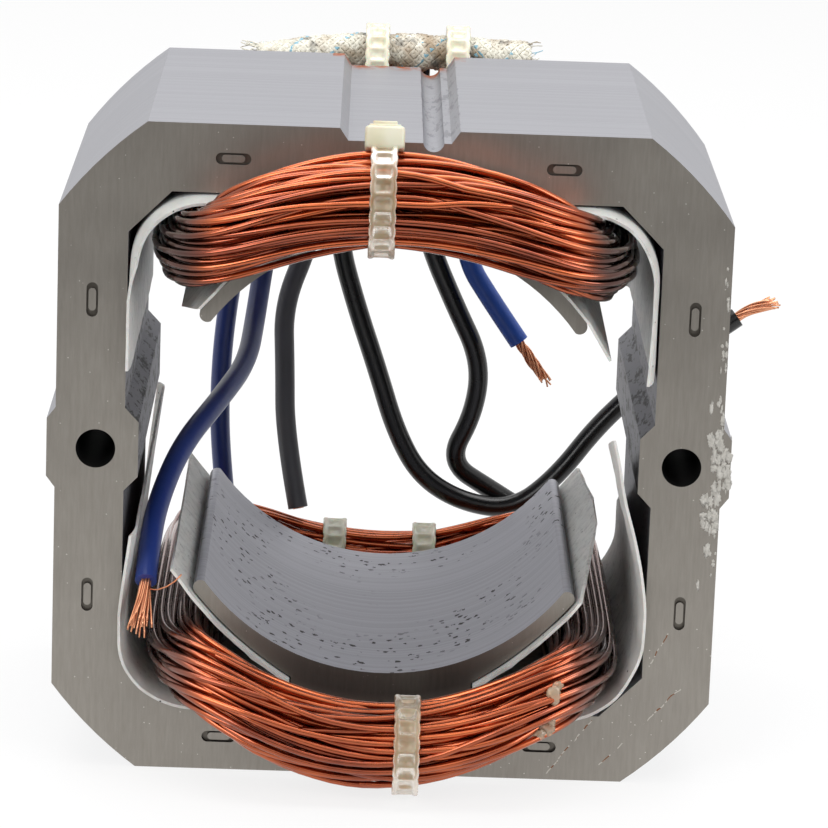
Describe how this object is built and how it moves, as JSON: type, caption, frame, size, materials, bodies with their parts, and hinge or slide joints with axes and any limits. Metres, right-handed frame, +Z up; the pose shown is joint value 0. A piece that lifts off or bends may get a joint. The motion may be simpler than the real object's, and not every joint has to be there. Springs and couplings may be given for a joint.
{
  "type": "stator lamination stack",
  "caption": "Square stack of punched steel laminations for a two-pole motor, with its copper windings, slot liners, cable ties, sleeving and cut leads.",
  "frame": {"origin": "on the rotor bore's axis at the stack's front face, midway between the two through bolt holes", "axes": "+X across the bolt holes to the right, +Y back along the bore, +Z up through the upper pole; it stands on its bottom flat at z = -42 mm"},
  "size_m": [0.0987, 0.0897, 0.0871],
  "materials": {
    "electrical_steel": "satin, fine lamination lines",
    "enamelled_copper": "glossy orange-red enamel",
    "pressboard": "matt off-white liner sheet",
    "nylon_natural": "translucent ivory",
    "glass_sleeving": "braided, varnish stained",
    "pvc_navy": "semi-gloss dark blue",
    "pvc_blue": "semi-gloss mid blue",
    "pvc_grey": "semi-gloss dark grey",
    "pvc_black": "semi-gloss black",
    "bare_copper": "bright bare strands"
  },
  "bodies": {
    "root": {"lamination_stack": "electrical_steel", "coil_upper": "enamelled_copper", "coil_lower": "enamelled_copper", "liner_upper_left": "pressboard", "liner_upper_right": "pressboard", "liner_lower_left": "pressboard", "liner_lower_right": "pressboard", "tie_upper_front": "nylon_natural", "tie_lower_front": "nylon_natural", "tie_upper_rear_left": "nylon_natural", "tie_upper_rear_right": "nylon_natural", "tie_lower_rear_left": "nylon_natural", "tie_lower_rear_right": "nylon_natural", "sleeve_rear": "glass_sleeving", "lead_blue_front": "pvc_navy", "lead_blue_rear": "pvc_navy", "lead_grey_rear": "pvc_grey", "lead_black_right": "pvc_black", "lead_black_rear": "pvc_black", "lead_blue_short": "pvc_blue", "strands_blue_front": "bare_copper", "strands_black_right": "bare_copper", "strands_blue_short": "bare_copper"}
  },
  "joints": []
}
